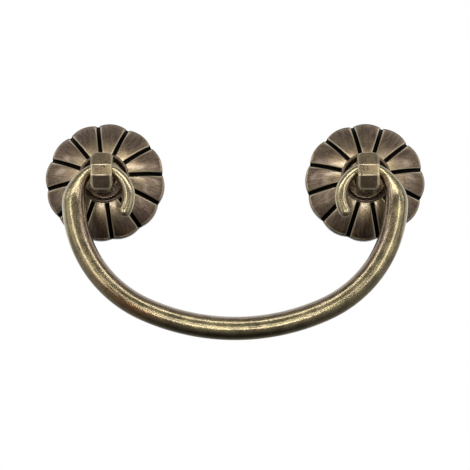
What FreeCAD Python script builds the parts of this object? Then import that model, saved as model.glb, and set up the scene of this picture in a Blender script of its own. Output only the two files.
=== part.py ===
import FreeCAD, Part
import os
from math import acos, asin, ceil, cos, degrees, hypot, pi, radians, sin, sqrt, tan

# Bail pull for a drawer front: a swan-neck bail that hangs and swings in two eye posts, each post
# seated in the middle of a twelve-petal rosette. All five pieces are cast brass.
# Millimetres. Origin on the drawer front, midway between the two screw axes.
# +X along the drawer, +Y into the drawer, +Z up. The bail is drawn hanging straight down.

Vector = FreeCAD.Vector

# Fixing: one M4 screw goes into each post from inside the drawer
hole_spacing = 64.0
tapped_hole_radius = 1.65
tapped_hole_depth = 8.0
drill_point_angle = 118.0

# Rosette: outline and dome
petal_count = 12
tip_radius = 14.7
petal_bow = 0.55
edge_height = 1.6
edge_round = 0.35
dome_inner_radius = 6.2
dome_inner_height = 6.2
dome_radius = 18.0
petal_crown_radius = 9.5
left_groove_angle = 7.7
right_groove_angle = 12.2

# Rosette: grooves between the petals
groove_width = 0.9
groove_floor_width = 0.6
groove_depth = 0.8
groove_bevel = 0.16

# Rosette: bead, recess for the post's collar, hub and hollow back
bead_thickness = 0.9
bead_rise = 0.35
bead_bevel = 0.3
recess_floor_height = 4.0
hub_wall = 2.4
shell_thickness = 1.9
back_rim_width = 1.5

# Eye post, from the back to the front
shank_radius = 4.0
shank_clearance = 0.1
shank_setback = 0.3
collar_clearance = 0.35
collar_thickness = 1.2
collar_bevel = 0.3
neck_radius = 2.5
neck_flare = 1.1
head_width = 5.2
head_height = 9.4
head_back = 9.7
head_front = 15.3
head_face_drop = 1.8
head_band_height = 2.6
head_corner_radius = 1.3
head_back_radius = 1.6
head_edge_round = 0.4

# Eye: the bore through the head that the bail turns in
eye_reach = 12.7
eye_rise = 0.7
eye_clearance = 0.15
eye_mouth_bevel = 0.25

# Bail: radius and turn of each arc of its centreline. The neck is the same to both sides of the
# eye's middle; from there the arm goes out and round to the bow, and the curl turns down inside.
arch_radius = 5.5
neck_turn = 25.0
arch_turn = 23.0
shoulder_radius = 10.0
shoulder_turn = 45.0
side_radius = 29.4
side_turn = 62.5
curl_radius = 7.2
curl_taper_turn = 60.0
curl_end_turn = 34.0
taper_ring_turn = 15.0

# Bail: thickness along the centreline
neck_diameter = 2.6
bow_diameter = 5.6
curl_diameter = 3.1

# Places that follow from the sizes above
post_x = hole_spacing / 2
petal_angle = 360.0 / petal_count
cusp_radius = tip_radius - petal_bow
bead_radius = dome_inner_radius - bead_thickness / 2
recess_radius = dome_inner_radius - bead_thickness
collar_top = recess_floor_height + collar_thickness

# The arch sags between the two faces of the head, so its top stands above the axis of the eye
# by as much as it lies below that axis at the faces
arch_sag = arch_radius - sqrt(arch_radius**2 - (head_width / 2)**2)
arch_tilt = asin(head_width / 2 / arch_radius)
arch_top = eye_rise + arch_sag / 2
eye_radius = arch_sag / 2 + neck_diameter / 2 / cos(arch_tilt) + eye_clearance


def closed_face(edges):
    """Flat face inside a ring of edges."""
    return Part.Face(Part.Wire(Part.__sortEdges__(edges)))


def turned(edges):
    """Solid turned about the Z axis from a closed profile drawn in the XZ plane."""
    return closed_face(edges).revolve(Vector(), Vector(0, 0, 1), 360)


def profile(points):
    """Straight edges through profile points (radius, height)."""
    corners = [Vector(radius, 0, height) for radius, height in points]
    return [Part.makeLine(start, end) for start, end in zip(corners, corners[1:])]


def stand_up(shape, x):
    """Turn a piece drawn lying on its back so that it faces -Y, at a place along the drawer."""
    shape.rotate(Vector(), Vector(1, 0, 0), 90)
    shape.translate(Vector(x, 0, 0))
    return shape


def dome_centre():
    """Centre (radius, height) of the arc along a petal's ridge, found from the arc's two ends."""
    run = tip_radius - dome_inner_radius
    fall = dome_inner_height - edge_height
    chord = hypot(run, fall)
    depth = sqrt(dome_radius**2 - (chord / 2)**2)
    centre_radius = (tip_radius + dome_inner_radius) / 2 - depth * fall / chord
    centre_height = (edge_height + dome_inner_height) / 2 - depth * run / chord
    return centre_radius, centre_height


def petal():
    """One petal: a crowned ridge that follows the dome, inside a sector with a bowed end."""
    centre_radius, centre_height = dome_centre()
    crown_centre = centre_height + dome_radius - petal_crown_radius
    half_width = tip_radius * sin(radians(petal_angle / 2)) + groove_width
    crown_side = crown_centre + sqrt(petal_crown_radius**2 - half_width**2)
    base = centre_height + dome_radius / 4
    section = [
        Vector(centre_radius, -half_width, base),
        Vector(centre_radius, -half_width, crown_side),
        Vector(centre_radius, half_width, crown_side),
        Vector(centre_radius, half_width, base),
    ]
    crown_top = Vector(centre_radius, 0, centre_height + dome_radius)
    section_edges = [
        Part.makeLine(section[0], section[1]),
        Part.Arc(section[1], crown_top, section[2]).toShape(),
        Part.makeLine(section[2], section[3]),
        Part.makeLine(section[3], section[0]),
    ]
    pivot = Vector(centre_radius, 0, centre_height)
    ridge = closed_face(section_edges).revolve(pivot, Vector(0, 1, 0), 360)

    corners = []
    for radius in (bead_radius, cusp_radius):
        for angle in (-petal_angle / 2, petal_angle / 2):
            corners.append(Vector(radius * cos(radians(angle)), radius * sin(radians(angle)), 0))
    outline = [
        Part.makeLine(corners[0], corners[2]),
        Part.Arc(corners[2], Vector(tip_radius, 0, 0), corners[3]).toShape(),
        Part.makeLine(corners[3], corners[1]),
        Part.makeLine(corners[1], corners[0]),
    ]
    sector = closed_face(outline).extrude(Vector(0, 0, dome_inner_height + dome_radius))
    blank = sector.common(ridge)
    lip = [edge for edge in blank.Edges if is_lip(edge)]
    return blank.makeFillet(edge_round, lip)


def is_lip(edge):
    """True for the edge along the top of a petal's bowed end."""
    at_cusp = [abs(hypot(v.X, v.Y) - cusp_radius) < edge_round / 10 for v in edge.Vertexes]
    raised = [v.Z > edge_height / 4 for v in edge.Vertexes]
    return len(edge.Vertexes) == 2 and all(at_cusp) and all(raised)


def valley_point(radius):
    """Height of the surface where two petals meet, at a distance from the rosette's axis."""
    centre_radius, centre_height = dome_centre()
    along = radius * cos(radians(petal_angle / 2)) - centre_radius
    across = radius * sin(radians(petal_angle / 2))
    crown = dome_radius - petal_crown_radius + sqrt(petal_crown_radius**2 - across**2)
    return Vector(radius, 0, centre_height + sqrt(crown**2 - along**2))


def groove():
    """Cutter for one groove: a bevelled channel that follows the valley and runs off the edge."""
    middle_radius = (dome_inner_radius + cusp_radius) / 2
    places = (dome_inner_radius, middle_radius, cusp_radius)
    valley = Part.Circle(*[valley_point(radius) for radius in places])
    centre = valley.Center
    surface = centre.z + valley.Radius
    half_width = groove_width / 2
    side = [
        (groove_floor_width / 2, surface - groove_depth),
        (half_width, surface - groove_bevel),
        (half_width + groove_bevel, surface),
        (half_width + groove_bevel + groove_depth, surface + groove_depth),
    ]
    right = [Vector(centre.x, across, height) for across, height in side]
    left = [Vector(centre.x, -across, height) for across, height in reversed(side)]
    section = Part.Face(Part.makePolygon(right + left + right[:1]))
    start = degrees(asin((dome_inner_radius - centre.x) / valley.Radius))
    end = degrees(acos(-centre.z / valley.Radius))
    section.rotate(centre, Vector(0, 1, 0), start)
    return section.revolve(centre, Vector(0, 1, 0), end - start)


def rosette_core():
    """Hub, recess floor and beaded rim in the middle of the rosette."""
    hole = shank_radius + shank_clearance
    bead_top = dome_inner_height + bead_rise
    return turned(profile([
        (recess_radius, recess_floor_height),
        (hole, recess_floor_height),
        (hole, 0),
        (dome_inner_radius, 0),
        (dome_inner_radius, bead_top - bead_bevel),
        (dome_inner_radius - bead_bevel, bead_top),
        (recess_radius + bead_bevel, bead_top),
        (recess_radius, bead_top - bead_bevel),
        (recess_radius, recess_floor_height),
    ]))


def hollow_back():
    """Cutter for the hollow behind the petals, which leaves a hub and a flat rim."""
    centre_radius, centre_height = dome_centre()
    inside = dome_radius - shell_thickness
    hub_radius = shank_radius + shank_clearance + hub_wall
    rim_radius = cusp_radius - back_rim_width
    outline = [(rim_radius, 0), (hub_radius, 0)]
    for radius in (hub_radius, (hub_radius + rim_radius) / 2, rim_radius):
        outline.append((radius, centre_height + sqrt(inside**2 - (radius - centre_radius)**2)))
    return turned(profile(outline + outline[:1]))


def rosette(groove_angle):
    """Rosette lying on its back, with one of its grooves at an angle from +X."""
    one_petal = petal()
    one_groove = groove()
    petals = []
    grooves = []
    for number in range(petal_count):
        petals.append(one_petal.copy())
        petals[-1].rotate(Vector(), Vector(0, 0, 1), number * petal_angle)
        grooves.append(one_groove.copy())
        grooves[-1].rotate(Vector(), Vector(0, 0, 1), (number + 0.5) * petal_angle)
    body = rosette_core().multiFuse(petals).removeSplitter()
    body = body.cut(Part.makeCompound(grooves)).cut(hollow_back())
    body.rotate(Vector(), Vector(0, 0, 1), groove_angle - petal_angle / 2)
    return body


def post_stem():
    """Turned part of the post: shank in the rosette's hub, collar on its floor, and flared neck."""
    collar_radius = recess_radius - collar_clearance
    neck_end = head_back + head_back_radius
    return turned(profile([
        (0, shank_setback),
        (shank_radius, shank_setback),
        (shank_radius, recess_floor_height),
        (collar_radius, recess_floor_height),
        (collar_radius, collar_top - collar_bevel),
        (collar_radius - collar_bevel, collar_top),
        (neck_radius + neck_flare, collar_top),
        (neck_radius + neck_flare / 3, collar_top + neck_flare / 3),
        (neck_radius, collar_top + neck_flare),
        (neck_radius, neck_end),
        (0, neck_end),
        (0, shank_setback),
    ]))


def post_head():
    """Head of the post: a rounded block whose front has a flat band between two sloping faces."""
    top = head_height / 2
    band = head_band_height / 2
    shoulder = head_front - head_face_drop
    back_start = head_back + head_back_radius
    corner = head_back_radius * (1 - sin(pi / 4))
    outline = [(top, back_start), (top, shoulder), (band, head_front)]
    outline += [(-up, out) for up, out in reversed(outline)]
    corners = [Vector(-head_width / 2, up, out) for up, out in outline]
    edges = [Part.makeLine(start, end) for start, end in zip(corners, corners[1:])]
    back = []
    for side in (-1, 1):
        back.append([
            Vector(-head_width / 2, side * top, back_start),
            Vector(-head_width / 2, side * (top - corner), head_back + corner),
            Vector(-head_width / 2, side * (top - head_back_radius), head_back),
        ])
    edges.append(Part.Arc(*back[0]).toShape())
    edges.append(Part.makeLine(back[0][2], back[1][2]))
    edges.append(Part.Arc(*reversed(back[1])).toShape())
    block = closed_face(edges).extrude(Vector(head_width, 0, 0))

    front = Part.makeBox(head_width, head_height, head_front, Vector(-head_width / 2, -top, 0))
    uprights = [edge for edge in front.Edges if edge.BoundBox.ZLength > head_front / 2]
    block = block.common(front.makeFillet(head_corner_radius, uprights))
    front_edges = [edge for edge in block.Edges if edge.BoundBox.ZMin > back_start + head_edge_round]
    return block.makeFillet(head_edge_round, front_edges)


def eye_bore():
    """Cutter for the eye: a bore along X with bevelled mouths."""
    face = head_width / 2
    mouth = eye_radius + eye_mouth_bevel
    bore = turned(profile([
        (0, -face),
        (mouth, -face),
        (eye_radius, eye_mouth_bevel - face),
        (eye_radius, face - eye_mouth_bevel),
        (mouth, face),
        (0, face),
        (0, -face),
    ]))
    bore.rotate(Vector(), Vector(0, 1, 0), 90)
    bore.translate(Vector(0, eye_rise, eye_reach))
    return bore


def tapped_hole():
    """Cutter for the blind hole that the screw goes into, ending in a drill point."""
    point = tapped_hole_radius / tan(radians(drill_point_angle / 2))
    end = shank_setback + tapped_hole_depth
    edges = profile([
        (0, 0),
        (tapped_hole_radius, 0),
        (tapped_hole_radius, end),
        (0, end + point),
        (0, 0),
    ])
    return turned(edges)


def eye_post():
    """Eye post lying on its back, with its eye along X."""
    body = post_stem().fuse(post_head())
    return body.cut(eye_bore()).cut(tapped_hole()).removeSplitter()


def eased(start, end, share):
    """Value between two ends that leaves and reaches them level, for a share from 0 to 1."""
    return start + (end - start) * share**2 * (3 - 2 * share)


def stretch(start, arcs, end_diameter):
    """Stations (x, y, turn, diameter) along tangent arcs, with the thickness eased to its end value.

    Each arc is (radius, turn in degrees): a positive turn goes on along the arm, a negative one
    along the curl. A station's own turn is in radians, from level at the top of the eye.
    """
    x, y, angle, start_diameter = start
    length = sum(radius * radians(abs(turn)) for radius, turn in arcs)
    walked = 0.0
    stations = [start]
    for radius, turn in arcs:
        count = ceil(abs(turn) / taper_ring_turn)
        step = radians(turn) / count
        for _ in range(count):
            x += radius * (sin(angle + step) - sin(angle))
            y += radius * (cos(angle + step) - cos(angle))
            angle += step
            walked += radius * abs(step)
            stations.append((x, y, angle, eased(start_diameter, end_diameter, walked / length)))
    return stations


def ring(x, y, turn, diameter):
    """Circle round the bail's centreline, square to it, in two halves that meet at the parting line."""
    centre = Vector(x, y, eye_reach)
    outward = Vector(sin(turn), cos(turn), 0) * (diameter / 2)
    forward = Vector(0, 0, diameter / 2)
    front = Part.Arc(centre - outward, centre + forward, centre + outward).toShape()
    back = Part.Arc(centre + outward, centre - forward, centre - outward).toShape()
    return Part.Wire([front, back])


def bend(station, radius, turn):
    """Stretch of even thickness along one arc of the centreline."""
    x, y, angle, diameter = station
    centre = Vector(x - radius * sin(angle), y - radius * cos(angle), eye_reach)
    return Part.Face(ring(*station)).revolve(centre, Vector(0, 0, 1), -turn)


def taper(stations):
    """Stretch of changing thickness, lofted through a ring at each station."""
    return Part.makeLoft([ring(*station) for station in stations], True)


def rounded_end(station):
    """Half ball on the end of a curl: the front half of its last ring, turned about the diameter."""
    x, y, turn, diameter = station
    centre = Vector(x, y, eye_reach)
    outward = Vector(sin(turn), cos(turn), 0)
    front = ring(*station).Edges[0]
    across = Part.makeLine(centre + outward * (diameter / 2), centre - outward * (diameter / 2))
    return Part.Face(Part.Wire([front, across])).revolve(centre, outward, -180)


def bail():
    """Bail lying on its back: bends of even thickness joined by lofted tapers, the same each side."""
    top = (post_x, arch_top, 0.0, neck_diameter)
    neck_outer = stretch(top, [(arch_radius, neck_turn)], neck_diameter)[-1]
    neck_inner = stretch(top, [(arch_radius, -neck_turn)], neck_diameter)[-1]
    shoulder_arcs = [(arch_radius, arch_turn), (shoulder_radius, shoulder_turn)]
    shoulder = stretch(neck_outer, shoulder_arcs, bow_diameter)
    side_end = stretch(shoulder[-1], [(side_radius, side_turn)], bow_diameter)[-1]
    curl = stretch(neck_inner, [(curl_radius, -curl_taper_turn)], curl_diameter)
    curl_tip = stretch(curl[-1], [(curl_radius, -curl_end_turn)], curl_diameter)[-1]
    half = [
        bend(neck_inner, arch_radius, 2 * neck_turn),
        taper(shoulder),
        bend(shoulder[-1], side_radius, side_turn),
        taper(curl),
        bend(curl[-1], curl_radius, -curl_end_turn),
        rounded_end(curl_tip),
    ]
    other_half = [piece.mirror(Vector(), Vector(1, 0, 0)) for piece in half]
    bow_turn = pi - side_end[2]
    bow = bend(side_end, side_end[0] / sin(bow_turn), degrees(2 * bow_turn))
    return bow.multiFuse(half + other_half)


pieces = {
    "bail": stand_up(bail(), 0),
    "eye_post_left": stand_up(eye_post(), -post_x),
    "eye_post_right": stand_up(eye_post(), post_x),
    "rosette_left": stand_up(rosette(left_groove_angle), -post_x),
    "rosette_right": stand_up(rosette(right_groove_angle), post_x),
}
os.makedirs("parts", exist_ok=True)
for name, shape in pieces.items():
    shape.exportStep(f"parts/{name}.step")
    print(name, "solids", len(shape.Solids), "valid", shape.isValid(), "volume", round(shape.Volume, 1))
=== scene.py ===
from math import cos, pi, radians, sin

import bpy
import numpy as np
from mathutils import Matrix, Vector


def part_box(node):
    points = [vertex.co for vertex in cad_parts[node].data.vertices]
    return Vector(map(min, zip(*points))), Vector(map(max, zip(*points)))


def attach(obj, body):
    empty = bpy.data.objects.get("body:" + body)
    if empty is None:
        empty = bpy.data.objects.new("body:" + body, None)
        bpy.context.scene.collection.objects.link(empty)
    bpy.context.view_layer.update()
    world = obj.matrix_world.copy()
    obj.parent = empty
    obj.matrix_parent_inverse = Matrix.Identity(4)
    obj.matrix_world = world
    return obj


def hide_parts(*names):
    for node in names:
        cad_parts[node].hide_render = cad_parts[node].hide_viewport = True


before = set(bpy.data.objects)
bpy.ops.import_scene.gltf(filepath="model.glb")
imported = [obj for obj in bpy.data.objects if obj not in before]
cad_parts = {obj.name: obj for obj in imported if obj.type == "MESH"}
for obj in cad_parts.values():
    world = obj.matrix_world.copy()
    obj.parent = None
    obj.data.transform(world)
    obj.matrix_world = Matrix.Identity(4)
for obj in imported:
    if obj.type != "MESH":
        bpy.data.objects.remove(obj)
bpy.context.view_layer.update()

# Rosettes. Two cast brass cups of twelve petals, antiqued nearly black and then brushed, so that the
# crowns of the petals and the edges of the grooves are rubbed back to pale brass. Each is held
# against the drawer front by the collar of its post.
petal_count = 12
half_petal = pi / petal_count
tip_radius = 0.0147
cusp_radius = 0.01415
edge_height = 0.0016
edge_round = 0.00035
edge_lowest = 0.00005
dome_inner_radius = 0.0062
dome_inner_height = 0.0062
dome_radius = 0.0180
crown_radius = 0.0095
groove_half_floor = 0.0003
groove_half_width = 0.00045
groove_depth = 0.0008
groove_bevel = 0.00016
groove_start_share = 0.01
bead_thickness = 0.0009
bead_rise = 0.00035
recess_radius = dome_inner_radius - bead_thickness
recess_floor_height = 0.0040
shank_hole_radius = 0.0041
hub_radius = shank_hole_radius + 0.0024
shell_thickness = 0.0019
rim_radius = cusp_radius - 0.0015
groove_angle = {"rosette_left": 7.7, "rosette_right": 12.2}

# how the finish lies on the petals: pale wear on the grooves' and the rim's edges, black in the
# grooves and a little over their edges, umber from an eighth of the petal's length outwards
groove_wear = 0.8
groove_wear_width = 0.0001
rim_wear = 0.3
rim_wear_share = 0.012
black_past_groove = 0.00008
black_fade = 0.0001
umber_start_share = 0.12
umber_fade_share = 0.5
brush_stretch = 6


def linear(hex_colour):
    """sRGB hex text as a linear colour with alpha."""
    share = np.array([int(hex_colour[i : i + 2], 16) for i in (1, 3, 5)]) / 255
    low = share / 12.92
    high = ((share + 0.055) / 1.055) ** 2.4
    return (*np.where(share <= 0.04045, low, high), 1.0)


def add(owner, kind, inputs=None, **settings):
    """A node with its settings; each input takes a value, or a link from another node's socket."""
    node = owner.node_tree.nodes.new(kind)
    for name, value in settings.items():
        setattr(node, name, value)
    for name, value in (inputs or {}).items():
        socket = node.inputs[name]
        if isinstance(value, bpy.types.NodeSocket):
            owner.node_tree.links.new(value, socket)
        else:
            socket.default_value = value
    return node


def held(value):
    """Value held between 0 and 1."""
    return np.clip(value, 0, 1)


def rubbed(distance, width):
    """Bell curve: 1 at no distance, and e to the minus one at one width away."""
    return np.exp(-((distance / width) ** 2))


def mesh_from_grid(name, grid, marks, closed_rows):
    """Object from a grid of points (row, column, xyz) whose columns run round and close.

    Each cell becomes a four-sided face that looks along the step to the next row crossed with the
    step to the next column. Where the rows close too, the last row joins the first, and otherwise
    each end gets one middle point and a fan. marks holds a value or a vector for each point by name.
    """
    rows, columns = grid.shape[:2]
    index = np.arange(rows * columns).reshape(rows, columns)
    if closed_rows:
        index = np.vstack([index, index[:1]])
    index = np.hstack([index, index[:, :1]])
    corners = (index[:-1, :-1], index[1:, :-1], index[1:, 1:], index[:-1, 1:])
    faces = np.stack(corners, axis=-1).reshape(-1, 4).tolist()
    points = grid.reshape(-1, 3)
    if not closed_rows:
        points = np.vstack([points, grid[0].mean(axis=0), grid[-1].mean(axis=0)])
        start, end = index[0], index[-1]
        middle = np.full(columns, rows * columns)
        faces += np.stack([start[:-1], start[1:], middle], axis=-1).tolist()
        faces += np.stack([end[1:], end[:-1], middle + 1], axis=-1).tolist()
    mesh = bpy.data.meshes.new(name)
    mesh.from_pydata(points, [], faces)
    mesh.polygons.foreach_set("use_smooth", np.ones(len(faces), bool))
    for mark, values in marks.items():
        values = values.reshape(rows, columns, -1)
        flat = values.reshape(rows * columns, -1)
        if not closed_rows:
            flat = np.vstack([flat, values[[0, -1]].mean(axis=1)])
        kind, field = ("FLOAT", "value") if flat.shape[1] == 1 else ("FLOAT_VECTOR", "vector")
        attribute = mesh.attributes.new(mark, kind, "POINT")
        attribute.data.foreach_set(field, flat.astype(np.float32).ravel())
    obj = bpy.data.objects.new(name, mesh)
    bpy.context.scene.collection.objects.link(obj)
    return obj


# middle of the arc that a petal's ridge follows, from the axis and from the drawer front: the arc
# goes through the bead and the tip with the dome's radius
ridge_run = tip_radius - dome_inner_radius
ridge_fall = dome_inner_height - edge_height
ridge_chord = np.hypot(ridge_run, ridge_fall)
ridge_sink = np.sqrt(dome_radius**2 - (ridge_chord / 2) ** 2)
ridge_middle_out = (tip_radius + dome_inner_radius) / 2 - ridge_sink * ridge_fall / ridge_chord
ridge_middle_up = (edge_height + dome_inner_height) / 2 - ridge_sink * ridge_run / ridge_chord


def petal_height(radius, angle):
    """Height of a petal's crowned surface before its grooves are cut.

    It is the height of an arc along the ridge, whose radius shrinks away from the ridge by the sag
    of the arc across the petal.
    """
    along = radius * np.cos(angle) - ridge_middle_out
    across = radius * np.sin(angle)
    ring = dome_radius - crown_radius + np.sqrt(crown_radius**2 - across**2)
    return ridge_middle_up + np.sqrt(ring**2 - along**2)


def petal_outline(angle):
    """Radius of the rim: a circle that goes through a petal's tip and the two cusps beside it."""
    spread = 2 * (tip_radius - cusp_radius * np.cos(half_petal))
    middle = (tip_radius**2 - cusp_radius**2) / spread
    bow = tip_radius - middle
    return middle * np.cos(angle) + np.sqrt(bow**2 - (middle * np.sin(angle)) ** 2)


def petal_angles(radius):
    """Angle from the ridge for each column across a petal.

    Beside a groove the columns keep a fixed distance from its middle, the arcsine of the distance
    over the radius. Between the two bevels they have even shares.
    """
    bevel_top = groove_half_width + groove_bevel
    beside_groove = np.array([0.0, groove_half_floor, groove_half_width, bevel_top])
    beside = np.arcsin(held(beside_groove / radius))
    between = np.linspace(-1, 1, 15)[1:-1] * (half_petal - beside[-1])
    return np.concatenate([beside - half_petal, between, half_petal - beside[:0:-1]])


def petal_rows():
    """Section of one petal, in rows from the hub's bore round the front to the hub's back.

    A row gives each column's angle, radius, height and marks: the pale mark is brass rubbed back on
    the groove edges and the rim, and pale brass on the bead's outer half; the near black mark is the
    bath's black in the grooves, and painted shade in the recess, on the bead, on the rim's edge and
    on the back; the umber mark is the bath's brown on the petals and the rim, and painted shade on
    the bead. On the petal the height is petal_height less the groove's depth, which grows evenly
    over the bevel and then over the groove's wall.
    """
    rows = []

    def add_row(radius, height, wear_and_highlight=0.0, black_and_shade=0.0, patina_and_shade=0.0, angles=None):
        """Adds a row, in which a single value stands for every column."""
        local = petal_angles(dome_inner_radius) if angles is None else angles
        rows.append([local] + [value + 0 * local for value in (radius, height, wear_and_highlight, black_and_shade, patina_and_shade)])

    # bore of the hub, floor and wall of the recess, bead; all darkened as painted shade under the
    # post's head
    bead_radius = bead_thickness / 2
    bead_centre = dome_inner_radius - bead_radius
    bead_base = dome_inner_height + bead_rise - bead_radius
    for step in np.linspace(0, 1, 4):
        add_row(shank_hole_radius, step * recess_floor_height, black_and_shade=0.8)
    for step in np.linspace(0.2, 1, 4):
        radius = shank_hole_radius + step * (recess_radius - shank_hole_radius)
        add_row(radius, recess_floor_height, black_and_shade=0.45)
    for step in np.linspace(0.15, 0.9, 5):
        height = recess_floor_height + step * (bead_base - recess_floor_height)
        add_row(recess_radius, height, black_and_shade=1.0 - 0.6 * step)
    for angle in np.linspace(pi, 0, 9):
        radius = bead_centre + bead_radius * cos(angle)
        height = bead_base + bead_radius * sin(angle)
        add_row(radius, height, wear_and_highlight=0.35 * max(cos(angle), 0), black_and_shade=0.55, patina_and_shade=1.0)

    # petal, from the bead to where the rim starts to round
    to_floor = groove_half_width - groove_half_floor
    for step in np.concatenate([np.zeros(1), np.linspace(0.004, 0.95, 34), np.linspace(0.96, 1, 6)]):
        local = petal_angles(dome_inner_radius + step * (tip_radius - dome_inner_radius))
        edge = petal_outline(local) - edge_round
        radius = dome_inner_radius + step * (edge - dome_inner_radius)
        off = np.abs(radius * np.sin(half_petal - np.abs(local)))
        bevel = held((groove_half_width + groove_bevel - off) / groove_bevel)
        wall = held((groove_half_width - off) / to_floor)
        depth = bevel * groove_bevel + wall * (groove_depth - groove_bevel)
        started = held(step / groove_start_share)
        height = petal_height(radius, local) - depth * started
        wear_and_highlight = groove_wear * rubbed(off - groove_half_width - groove_bevel, groove_wear_width)
        wear_and_highlight = np.maximum(wear_and_highlight, rim_wear * rubbed(1 - step, rim_wear_share))
        black_and_shade = held((groove_half_width + black_past_groove - off) / black_fade) * started
        patina_and_shade = held((step - umber_start_share) / umber_fade_share)
        add_row(radius, height, wear_and_highlight * (1 - black_and_shade), black_and_shade, patina_and_shade, local)

    # rounded rim, edge down to the drawer front, hollow back and hub; the rim's outer half, the
    # edge, the back and the hub darkened as painted shade
    rim_local, rim_start, rim_height, _, rim_dark, _ = rows[-1]
    for angle in np.linspace(0, pi / 2, 5)[1:]:
        radius = rim_start + edge_round * np.sin(angle)
        height = np.maximum(rim_height - edge_round * (1 - np.cos(angle)), edge_lowest)
        wear_and_highlight = rim_wear * (1 - rim_dark) * np.cos(angle)
        add_row(radius, height, wear_and_highlight, np.maximum(rim_dark, 0.5 * np.sin(angle)), 1.0, rim_local)
    edge_radius, edge_top = rows[-1][1:3]
    for step in np.linspace(0.25, 1, 4):
        add_row(edge_radius, edge_top * (1 - step), 0.0, np.maximum(rim_dark, 0.5), 1.0, rim_local)
    add_row(rim_radius, 0.0, black_and_shade=0.5, angles=rim_local)
    for step in np.linspace(0, 1, 9):
        radius = rim_radius + step * (hub_radius - rim_radius)
        inside = dome_radius - shell_thickness
        height = ridge_middle_up + np.sqrt(inside**2 - (radius - ridge_middle_out) ** 2)
        add_row(radius, height, black_and_shade=0.6, angles=rim_local)
    add_row(hub_radius, 0.0, black_and_shade=0.5)
    return [np.array(part) for part in zip(*rows)]


def rosette_mesh(name, centre, turn):
    """Rosette: the rows of one petal, set twelve times round the axis at the centre and turned.

    The brush mark is the place across a petal and the place along it, which is shortened so that
    the streaks run long, with an own third value for each petal.
    """
    one_petal = petal_rows()
    columns = one_petal[0].shape[1]
    all_petals = [np.tile(part, (1, petal_count)) for part in one_petal]
    local, radius, height, wear_and_highlight, black_and_shade, patina_and_shade = all_petals
    petal_number = np.repeat(np.arange(petal_count), columns)
    angle = local + petal_number * 2 * half_petal + half_petal + radians(turn)
    grid = np.stack([centre + radius * np.cos(angle), -height, radius * np.sin(angle)], axis=-1)
    own_place = petal_number * tip_radius + centre
    brush = np.stack([local * radius, radius / brush_stretch, own_place + 0 * radius], axis=-1)
    marks = {"wear_and_highlight": wear_and_highlight, "black_and_shade": black_and_shade, "patina_and_shade": patina_and_shade, "brush": brush}
    return mesh_from_grid(name, grid, marks, True)


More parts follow.
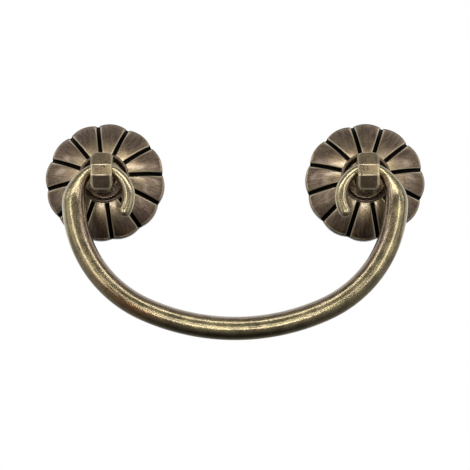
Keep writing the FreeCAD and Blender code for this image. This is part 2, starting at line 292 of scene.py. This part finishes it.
def antique_brass(name, low_tone, high_tone, roughness):
    """Cast brass, darkened in a bath, rubbed back by hand and lacquered.

    The eye sees a satin brown metal with a glossier skin of clear lacquer, small pits, darker than
    the metal, left by the casting, and fine streaks left by the rubbing. Where a piece's marks ask
    for it, the metal turns umber, which is the bath's brown left on and also painted shade on the
    heads' lower faces and the bail's inner side; near black, which is the bath's black in the
    grooves and painted shade in the recesses and under the heads, where the lacquer thins as well;
    and pale brass, on rubbed edges, on the bail's curls, and as painted highlights on the heads. An
    amber stain shows where a piece has the mark for it.
    """
    material = bpy.data.materials.new(name)
    material.use_nodes = True
    material.node_tree.nodes.clear()
    place = add(material, "ShaderNodeTexCoord").outputs["Object"]
    mark = {
        kind: add(material, "ShaderNodeAttribute", attribute_name=kind).outputs
        for kind in ("brush", "wear_and_highlight", "black_and_shade", "patina_and_shade", "amber")
    }

    # blotches of tone are about 4 mm across; the real streaks and pits are 0.05 to 0.1 mm, and are
    # drawn 0.35 and 0.38 mm across so that they show
    lumps = {}
    for kind, where, size_mm, detail in (
        ("blotch", place, 4.0, 4.0),
        ("streak", mark["brush"]["Vector"], 0.35, 2.0),
        ("pit", place, 0.38, 2.0),
    ):
        inputs = {"Vector": where, "Scale": 1000 / size_mm, "Detail": detail}
        lumps[kind] = add(material, "ShaderNodeTexNoise", inputs).outputs["Fac"]

    # what the lumps decide: the range of their height, and the range of share or value it gives
    share = {}
    for use, height, low, high, to_low, to_high in (
        ("tone", lumps["blotch"], 0.35, 0.65, 0.0, 1.0),
        ("umber", lumps["blotch"], 0.3, 0.7, 0.0, 1.0),
        ("streaks", lumps["streak"], 0.35, 0.70, 0.0, 0.35),
        ("pits", lumps["pit"], 0.46, 0.34, 0.0, 0.5),
        ("roughness", lumps["blotch"], 0.3, 0.7, roughness - 0.05, roughness + 0.05),
        # the lacquer thins where the near black mark is set, so where that mark is painted shade the
        # coat's reflection is dimmed too
        ("lacquer", mark["black_and_shade"]["Fac"], 0.0, 1.0, 1.0, 0.0),
    ):
        inputs = {
            "Value": height, "From Min": low, "From Max": high, "To Min": to_low, "To Max": to_high,
        }
        share[use] = add(material, "ShaderNodeMapRange", inputs).outputs["Result"]
    uneven = add(
        material, "ShaderNodeMath", {0: share["umber"], 1: 0.5, 2: 0.6}, operation="MULTIPLY_ADD",
    )
    umber = add(
        material, "ShaderNodeMath", {0: uneven.outputs[0], 1: mark["patina_and_shade"]["Fac"]},
        operation="MULTIPLY", use_clamp=True,
    )

    # layers of colour from the metal upwards; the umber, pale and near black layers also paint shade
    # and highlights, where the marks are set for that
    colour = linear(low_tone)
    for cover, layer in (
        (share["tone"], high_tone),
        (umber.outputs[0], "#6a5148"),
        (mark["amber"]["Fac"], "#8e4d12"),
        (share["streaks"], "#d0bb8c"),
        (share["pits"], "#33271b"),
        (mark["wear_and_highlight"]["Fac"], "#e6d6b0"),
        (mark["black_and_shade"]["Fac"], "#15110e"),
    ):
        inputs = {"Factor": cover, "A": colour, "B": linear(layer)}
        colour = add(material, "ShaderNodeMix", inputs, data_type="RGBA").outputs[2]

    relief = add(material, "ShaderNodeMath", {0: lumps["pit"], 1: lumps["streak"]}, operation="ADD")
    bump = add(material, "ShaderNodeBump", {
        "Height": relief.outputs[0], "Strength": 0.25, "Distance": 0.0001,
    })
    metal = add(material, "ShaderNodeBsdfPrincipled", {
        "Base Color": colour,
        "Metallic": 1.0,
        "Roughness": share["roughness"],
        "Normal": bump.outputs["Normal"],
        "Coat Weight": share["lacquer"],
        "Coat Roughness": 0.15,
    })
    add(material, "ShaderNodeOutputMaterial", {"Surface": metal.outputs["BSDF"]})
    return material


rosette_metal = antique_brass("brushed antique brass", "#7a6854", "#b09a78", 0.33)
for node, turn in groove_angle.items():
    low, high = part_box(node)
    petals = rosette_mesh(f"{node}_petals", (low.x + high.x) / 2, turn)
    petals.data.materials.append(rosette_metal)
    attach(petals, "fittings")
    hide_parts(node)

# Eye posts. One brass casting each: a shank that fills the rosette's hub, a collar on the floor of
# its recess, a flared neck, and a block-shaped head bored for the bail. The back is drilled and
# tapped M4 for the screw that comes through the drawer front.
post_x = 0.032
shank_radius = 0.0040
shank_setback = 0.0003
shank_chamfer = 0.0002
collar_radius = recess_radius - 0.00035
collar_top = recess_floor_height + 0.0012
collar_round = 0.0003
neck_radius = 0.0025
neck_flare = 0.0011
neck_into_head = 0.0002
head_half_width = 0.0026
head_half_height = 0.0047
head_back = 0.0097
head_front = 0.0153
head_shoulder = head_front - 0.0018
head_half_band = 0.0013
head_corner_radius = 0.0013
head_back_radius = 0.0016
head_edge_round = 0.0004
head_outline_spacing = 0.0002
eye_reach = 0.0127
eye_rise = 0.0007
eye_radius = 0.00195
eye_mouth_round = 0.00025
thread_minor_radius = 0.00165
thread_major_radius = 0.0020
thread_pitch = 0.0007
thread_depth = 0.0080
drill_point_radius = 0.0001
drill_point_length = 0.00095

# how far the finish is rubbed through on the head, where painted highlights lie along the band and
# across the foot, where its lower face is darkened as painted shade, and how far the stem is
# darkened above its collar as painted shade
mouth_wear_width = 0.00018
band_highlight_width = 0.00014
side_wear_width = 0.00022
foot_highlight_height = 0.0003
foot_highlight_width = 0.0002
foot_highlight_depth = 0.0006
shaded_face_fade = 0.0003
stem_shade_above_collar = 0.0025
stem_shade_fade = 0.003


def rounded_path(corners, radii, spacing):
    """Closed path through flat corner points, each turned into an arc of its own radius.

    An arc starts and ends where a circle of that radius touches both sides of the corner, and the
    points along its arcs and its straight runs are about one spacing apart.
    """
    corners = np.array(corners)
    before_all, after_all = np.roll(corners, 1, 0), np.roll(corners, -1, 0)
    arcs = []
    for corner, before, after, radius in zip(corners, before_all, after_all, radii):
        back = (before - corner) / np.linalg.norm(before - corner)
        ahead = (after - corner) / np.linalg.norm(after - corner)
        half_angle = np.arccos(np.clip(back @ ahead, -1, 1)) / 2
        middle = corner + (back + ahead) / np.linalg.norm(back + ahead) * radius / np.sin(half_angle)
        start = corner + back * radius / np.tan(half_angle) - middle
        turn = pi - 2 * half_angle
        side = np.sign(back[1] * ahead[0] - back[0] * ahead[1])
        steps = np.linspace(0, turn, max(4, int(radius * turn / spacing) + 2))[:, None] * side
        square_to_start = np.array([-start[1], start[0]])
        arcs.append(middle + start * np.cos(steps) + square_to_start * np.sin(steps))
    points = []
    for arc, following in zip(arcs, arcs[1:] + arcs[:1]):
        run = following[0] - arc[-1]
        count = int(np.linalg.norm(run) / spacing)
        points += [arc, arc[-1] + run * np.linspace(0, 1, count + 2)[1:-1, None]]
    return np.vstack(points)


def head_mesh(name, centre):
    """Head of a post, as rows round the eye and columns from its bore out over one side and back.

    Each row lies on a ray from the middle of the eye to the head's outline. The sides narrow towards
    the top and the bottom along an arc, which rounds the corners as seen from the front.
    """
    corners = [
        (head_back, head_half_height), (head_shoulder, head_half_height),
        (head_front, head_half_band), (head_front, -head_half_band),
        (head_shoulder, -head_half_height), (head_back, -head_half_height),
    ]
    radii = [head_back_radius] + [head_edge_round] * 4 + [head_back_radius]
    outline = rounded_path(corners, radii, head_outline_spacing)
    ray = outline - np.array([eye_reach, eye_rise])
    reach = np.hypot(ray[:, 0], ray[:, 1])[:, None]
    ray = ray / reach

    # columns: bore, rounded mouth of the eye, side face, rounded edge, and out to the middle line
    flat = np.ones_like(reach)
    quarter = np.linspace(0, pi / 2, 6)[None, 1:]
    face_steps = np.linspace(0, 1, 16)[None, 1:]
    to_middle = np.array([[0.97, 0.85, 0.6, 0.3, 0.0]])
    bore_x = head_half_width - eye_mouth_round
    mouth = eye_radius + eye_mouth_round
    edge = reach - head_edge_round
    radius = np.hstack([
        eye_radius * flat * np.ones((1, 4)),
        (mouth - eye_mouth_round * np.cos(quarter)) * flat,
        mouth + (edge - mouth) * face_steps,
        edge + head_edge_round * np.sin(quarter),
        reach * np.ones_like(to_middle),
    ])
    inset = np.hstack([
        head_half_width - bore_x * np.linspace(0, 1, 4)[None] * flat,
        eye_mouth_round * (1 - np.sin(quarter)) * flat,
        0 * face_steps * flat,
        head_edge_round * (1 - np.cos(quarter)) * flat,
        head_edge_round * flat * np.ones_like(to_middle),
    ])
    share = np.hstack([np.ones((1, radius.shape[1] - to_middle.size)), to_middle]) * flat
    out = eye_reach + ray[:, :1] * radius
    up = eye_rise + ray[:, 1:] * radius
    past = np.clip(np.abs(up) - (head_half_height - head_corner_radius), 0, head_corner_radius)
    narrowing = head_corner_radius - np.sqrt(head_corner_radius**2 - past**2)
    across = (head_half_width - narrowing - inset) * share

    # painted shade: below the band the lower face is darkened and made more umber
    below_band = held((shaded_face_fade - head_half_band - up) / shaded_face_fade)
    front_half = (share < 1) * (out > head_shoulder)
    near_edge = rubbed(inset - 0.5 * head_edge_round, 0.4 * head_edge_round) * (radius > edge)
    near_mouth = rubbed(radius - mouth, mouth_wear_width) * (radius < edge)
    # painted highlights along the band's edges and across the foot
    band_highlight = rubbed(np.abs(up) - head_half_band, band_highlight_width) * front_half
    near_side = rubbed((1 - share) * head_half_width, side_wear_width) * (radius >= edge)
    foot_highlight = rubbed(up + head_half_height - foot_highlight_height, foot_highlight_width)
    foot_highlight = foot_highlight * (out > head_shoulder - foot_highlight_depth)
    # the rubbed edges are brighter round the lower face, a painted highlight on its rim
    wear_and_highlight = np.maximum(near_edge * (share == 1), near_side) * (0.3 + 0.7 * below_band)
    wear_and_highlight = np.maximum(np.maximum(wear_and_highlight, 0.6 * near_mouth), foot_highlight)
    wear_and_highlight = np.maximum(wear_and_highlight, band_highlight * (1 - share**2))
    patina_and_shade = (0.1 + 0.5 * below_band) * (share < 1)
    black_and_shade = 0.45 * below_band * (share < 1) * (1 - wear_and_highlight)

    def both_sides(half, sign):
        """Columns of one half, followed by those of the other in reverse with this sign."""
        return np.hstack([half, sign * half[:, -2:0:-1]])

    x, y, z = centre - both_sides(across, -1), -both_sides(out, 1), both_sides(up, 1)
    grid = np.stack([x, y, z], axis=-1)
    marks = {"wear_and_highlight": wear_and_highlight, "black_and_shade": black_and_shade, "patina_and_shade": patina_and_shade}
    marks = {mark: both_sides(values, 1) for mark, values in marks.items()}
    return mesh_from_grid(name, grid, {**marks, "brush": grid}, True)


def stem_mesh(name, centre):
    """Turned part of a post: tapped hole, shank, collar and neck, as rows along its section.

    The wall of the hole is a screw thread: its radius swings between the crest and the root as a
    triangle wave of the depth less the turn round the axis, which makes it right-handed.
    """
    columns = np.linspace(2 * pi, 0, 64, endpoint=False)[None]
    hole_end = shank_setback + thread_depth
    depth = np.arange(hole_end, shank_setback, -thread_pitch / 8)[:, None]
    wave = np.abs(((depth / thread_pitch - columns / (2 * pi)) % 1) * 2 - 1)
    inside = held((depth - shank_setback) / thread_pitch) * held((hole_end - depth) / thread_pitch)
    thread = thread_minor_radius + (thread_major_radius - thread_minor_radius) * wave * inside
    quarter = np.linspace(0, pi / 2, 6)
    section = np.vstack([
        (thread_major_radius + 0.0001, shank_setback),
        (shank_radius - shank_chamfer, shank_setback),
        (shank_radius, shank_setback + shank_chamfer),
        (shank_radius, recess_floor_height),
        (collar_radius, recess_floor_height),
        np.stack([
            collar_radius - collar_round * (1 - np.cos(quarter)),
            collar_top - collar_round * (1 - np.sin(quarter)),
        ], axis=-1),
        np.stack([
            neck_radius + neck_flare * (1 - np.sin(quarter)),
            collar_top + neck_flare * (1 - np.cos(quarter)),
        ], axis=-1),
        (neck_radius, head_back),
        (neck_radius, head_back + neck_into_head),
    ])
    around = 0 * columns
    radius = np.vstack([drill_point_radius + around, thread, section[:, :1] + around])
    drill_point = hole_end + drill_point_length + around
    height = np.vstack([drill_point, depth + around, section[:, 1:] + around])
    grid = np.stack([centre + radius * np.cos(columns), -height, radius * np.sin(columns)], axis=-1)
    # painted shade on the shank, the collar and the foot of the neck, fading out up the neck towards
    # the head
    low = held((collar_top + stem_shade_above_collar - height) / stem_shade_fade)
    marks = {"wear_and_highlight": 0 * low, "black_and_shade": 0.45 * low, "patina_and_shade": 1 + 0 * low, "brush": grid}
    return mesh_from_grid(name, grid, marks, False)


def join(first, second):
    """Second object's mesh moved into the first."""
    with bpy.context.temp_override(active_object=first, selected_editable_objects=[first, second]):
        bpy.ops.object.join()
    return first


post_metal = antique_brass("antique brass", "#7a6650", "#b09a74", 0.27)
for node, centre in (("eye_post_left", -post_x), ("eye_post_right", post_x)):
    post = join(head_mesh(f"{node}_casting", centre), stem_mesh(f"{node}_stem", centre))
    post.data.materials.append(post_metal)
    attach(post, "fittings")
    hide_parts(node)

# Bail. One round brass casting that thins to a neck in each eye and turns down inside it into a
# short curl with a rounded end. It hangs loose in the eyes and swings up from the drawer front.
arch_radius = 0.0055
neck_turn = 25.0
arch_turn = 23.0
shoulder_radius = 0.0100
shoulder_turn = 45.0
side_radius = 0.0294
side_turn = 62.5
curl_radius = 0.0072
curl_taper_turn = 60.0
curl_end_turn = 34.0
neck_diameter = 0.0026
bow_diameter = 0.0056
curl_diameter = 0.0031
ring_spacing = 0.00035
ring_columns = 56

# how the finish lies on the bail: the curls paler than the arms, umber on the inner side, both the
# bath's brown left on and painted shade, less of it where a hand takes the bow, and one amber
# stain low on the left
curl_lightening = 0.22
curl_lightening_start = 0.001
curl_lightening_fade = 0.004
bow_below = -0.02
grip_half_length = 0.034
stain_x = -0.024
stain_half_length = 0.007


def walk(x, z, heading, arcs):
    """Points, headings and walked lengths along tangent arcs of (radius, signed turn in degrees).

    On each arc the point moves on a circle: its place is the start plus the radius times the change
    in the sine and the cosine of the heading.
    """
    points = [np.array([[x, z, heading, 0.0]])]
    walked = 0.0
    for radius, turn in arcs:
        angle = radians(turn)
        steps = np.linspace(0, 1, int(radius * abs(angle) / ring_spacing) + 2)[1:]
        headings = heading + angle * steps
        xs = x + radius * (np.sin(headings) - np.sin(heading))
        zs = z + radius * (np.cos(headings) - np.cos(heading))
        lengths = walked + radius * abs(angle) * steps
        points.append(np.stack([xs, zs, headings, lengths], axis=-1))
        x, z, heading, walked = xs[-1], zs[-1], headings[-1], lengths[-1]
    return np.vstack(points)


def eased(low, high, share):
    """Value from low to high that leaves and reaches them level, as three squares less two cubes."""
    share = held(share)
    return low + (high - low) * share**2 * (3 - 2 * share)


def bail_mesh(name):
    """Bail as rings square to its middle line, from one curl's end over the bow to the other.

    The ring's thickness eases between the neck, the bow and the curl, and at each end the rings
    shrink as the circles of a half ball. The middle line starts in the eye half as high above its
    middle as the arc sags over the head's width, so that the neck turns freely in the bore.
    """
    neck = arch_radius * radians(neck_turn)
    taper = arch_radius * radians(arch_turn) + shoulder_radius * radians(shoulder_turn)
    side = side_radius * radians(side_turn)
    sag = arch_radius - np.sqrt(arch_radius**2 - head_half_width**2)
    arch_top = eye_rise + sag / 2
    out = walk(post_x, arch_top, 0.0, [
        (arch_radius, neck_turn + arch_turn),
        (shoulder_radius, shoulder_turn),
        (side_radius, side_turn),
    ])
    side_x, side_z, side_heading, _ = out[-1]
    bow_turn = pi - side_heading
    bow = walk(side_x, side_z, side_heading, [(side_x / sin(bow_turn), np.degrees(bow_turn))])
    bow[:, 3] += neck + taper + side
    arm = np.vstack([out, bow[1:-1]])
    arm_thickness = eased(neck_diameter, bow_diameter, (arm[:, 3] - neck) / taper)

    curl_taper = curl_radius * radians(curl_taper_turn)
    curl_arcs = [(arch_radius, -neck_turn), (curl_radius, -curl_taper_turn - curl_end_turn)]
    curl = walk(post_x, arch_top, 0.0, curl_arcs)
    curl_thickness = eased(neck_diameter, curl_diameter, (curl[:, 3] - neck) / curl_taper)
    end_turn = np.linspace(0, radians(86), 10)[1:]
    end_x, end_z, end_heading, _ = curl[-1]
    ball = curl_diameter / 2
    cap = np.stack([
        end_x - ball * np.sin(end_turn) * np.cos(end_heading),
        end_z + ball * np.sin(end_turn) * np.sin(end_heading),
        end_heading + 0 * end_turn,
        0 * end_turn,
    ], axis=-1)
    cap_thickness = curl_diameter * np.cos(end_turn)

    half = np.vstack([cap[::-1], curl[::-1], arm[1:]])
    half_thickness = np.concatenate([cap_thickness[::-1], curl_thickness[::-1], arm_thickness[1:]])
    bottom = np.array([[0, bow[-1, 1], pi, 0]])
    line = np.vstack([half, bottom, half[::-1] * np.array([-1, 1, -1, 1])])
    reach = np.concatenate([half_thickness, [bow_diameter], half_thickness[::-1]])[:, None] / 2

    x, z, heading = line[:, :1], line[:, 1:2], line[:, 2:3]
    round_angle = np.linspace(0, 2 * pi, ring_columns, endpoint=False)[None]
    outward, forward = np.cos(round_angle), np.sin(round_angle)
    grid = np.stack([
        x + reach * outward * np.sin(heading),
        -eye_reach + reach * forward + 0 * x,
        z + reach * outward * np.cos(heading),
    ], axis=-1)
    step_x = np.diff(line[:, 0], prepend=line[0, 0])
    step_z = np.diff(line[:, 1], prepend=line[0, 1])
    walked = np.cumsum(np.hypot(step_x, step_z))[:, None]
    along = walked / brush_stretch + 0 * round_angle
    brush = np.stack([reach * outward, reach * forward, along], axis=-1)

    on_curl = held((post_x - curl_lightening_start - np.abs(x)) / curl_lightening_fade) * (z > bow_below)
    wear_and_highlight = curl_lightening * on_curl + 0 * round_angle
    grip = np.exp(-((x / grip_half_length) ** 6))
    # umber on the inner side of the tube: the bath's brown left on, and painted shade
    inner_side = 0.9 * held((-outward - 0.1 - 0.25 * grip) / 0.3)
    stain = rubbed(x - stain_x, stain_half_length) * (z < bow_below)
    stain = stain * rubbed(outward - 0.5, 0.28) * held(1 - 2 * forward)
    marks = {"wear_and_highlight": wear_and_highlight, "black_and_shade": 0 * wear_and_highlight, "patina_and_shade": inner_side, "amber": stain, "brush": brush}
    return mesh_from_grid(name, grid, marks, False)


bail_metal = antique_brass("relieved antique brass", "#74694a", "#aa9c72", 0.23)
bail = bail_mesh("bail_casting")
bail.data.materials.append(bail_metal)
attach(bail, "bail")
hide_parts("bail")

# Studio. A pale floor and a white backdrop, a frame of soft lamps close in front of the pull, one
# strip of light above the camera and one below it, and the camera in front and a little below.
floor_height = -0.17
backdrop_distance = 1.2
stage_reach = 9.0


def plain_sheet(name, corners, colour, white_to_camera):
    """Flat stage sheet. Where asked, it is pure white to the camera, in metal and through glass."""
    mesh = bpy.data.meshes.new(name)
    mesh.from_pydata(corners, [], [(0, 1, 2, 3)])
    sheet = bpy.data.objects.new(name, mesh)
    bpy.context.scene.collection.objects.link(sheet)
    material = bpy.data.materials.new(name)
    material.use_nodes = True
    material.node_tree.nodes.clear()
    surface = add(material, "ShaderNodeBsdfDiffuse", {"Color": linear(colour)}).outputs["BSDF"]
    if white_to_camera:
        ray = add(material, "ShaderNodeLightPath").outputs
        seen = ray["Is Camera Ray"]
        for kind in ("Is Glossy Ray", "Is Transmission Ray"):
            inputs = {0: seen, 1: ray[kind]}
            seen = add(material, "ShaderNodeMath", inputs, operation="MAXIMUM").outputs[0]
        white = add(material, "ShaderNodeEmission", {"Color": linear("#ffffff"), "Strength": 1.0})
        inputs = {0: seen, 1: surface, 2: white.outputs[0]}
        surface = add(material, "ShaderNodeMixShader", inputs).outputs[0]
    add(material, "ShaderNodeOutputMaterial", {"Surface": surface})
    mesh.materials.append(material)
    return sheet


floor = plain_sheet("floor", [
    (-stage_reach, -stage_reach, floor_height), (stage_reach, -stage_reach, floor_height),
    (stage_reach, backdrop_distance, floor_height), (-stage_reach, backdrop_distance, floor_height),
], "#d9d9d6", False)
floor.visible_glossy = False
plain_sheet("backdrop", [
    (-stage_reach, backdrop_distance, floor_height), (stage_reach, backdrop_distance, floor_height),
    (stage_reach, backdrop_distance, stage_reach), (-stage_reach, backdrop_distance, stage_reach),
], "#f2f2f2", True)


def lamp(name, place, turn_down, turn_right, width, height, radiance):
    """Rectangular lamp that shines along +Y, turned by degrees.

    Its power is the radiance times pi times its area, so that its face has that radiance all over.
    """
    data = bpy.data.lights.new(name, "AREA")
    data.shape = "RECTANGLE"
    data.size = width
    data.size_y = height
    data.energy = radiance * pi * width * height
    obj = bpy.data.objects.new(name, data)
    bpy.context.scene.collection.objects.link(obj)
    obj.location = place
    obj.rotation_euler = (radians(90 - turn_down), 0, radians(-turn_right))
    obj.visible_camera = False
    return obj


for hand, side in (("left", -1), ("right", 1)):
    lamp(f"frame_{hand}", (side * 0.088, -0.100, -0.012), 0, side * 30, 0.046, 0.09, 3.1)
    lamp(f"corner_{hand}", (side * 0.120, -0.090, 0.080), 0, 0, 0.08, 0.05, 0.8)
    lamp(f"high_{hand}", (side * 0.240, -0.090, 0.100), 0, 0, 0.12, 0.08, 2.4)
    lamp(f"panel_{hand}", (side * 0.220, -0.090, -0.010), 0, 0, 0.22, 0.12, 0.4)
lamp("frame_top", (0, -0.090, 0.050), 0, 0, 0.15, 0.020, 5.6)
lamp("front_strip", (0, -0.460, -0.020), 0, 0, 0.24, 0.035, 5.0)
lamp("low_strip", (0, -0.345, -0.122), 0, 0, 0.20, 0.020, 14.0)
ceiling = lamp("ceiling", (0, 0, 3.0), 90, 0, 14.0, 14.0, 0.65)
ceiling.visible_glossy = False

# the room: grey all round the pull, and dark below it as over a photographer's black card
world = bpy.data.worlds.new("studio")
bpy.context.scene.world = world
world.use_nodes = True
world.node_tree.nodes.clear()
direction = add(world, "ShaderNodeTexCoord").outputs["Generated"]
shade = add(world, "ShaderNodeMapRange", {
    "Value": add(world, "ShaderNodeSeparateXYZ", {"Vector": direction}).outputs["Z"],
    "From Min": sin(radians(-80)),
    "From Max": sin(radians(-25)),
    "To Min": 0.03,
    "To Max": 0.42,
}).outputs["Result"]
room = add(world, "ShaderNodeBackground", {"Strength": shade})
add(world, "ShaderNodeOutputWorld", {"Surface": room.outputs["Background"]})

camera_data = bpy.data.cameras.new("camera")
camera_data.sensor_width = 36.0
camera_data.lens = 140.5
camera_data.clip_start = 0.01
camera = bpy.data.objects.new("camera", camera_data)
bpy.context.scene.collection.objects.link(camera)
bpy.context.scene.camera = camera
camera.location = (0, -0.443, -0.0969)
aim = Vector((0, 0, -0.013))
camera.rotation_euler = (aim - camera.location).to_track_quat("-Z", "Y").to_euler()

bpy.context.scene.view_settings.view_transform = "Standard"
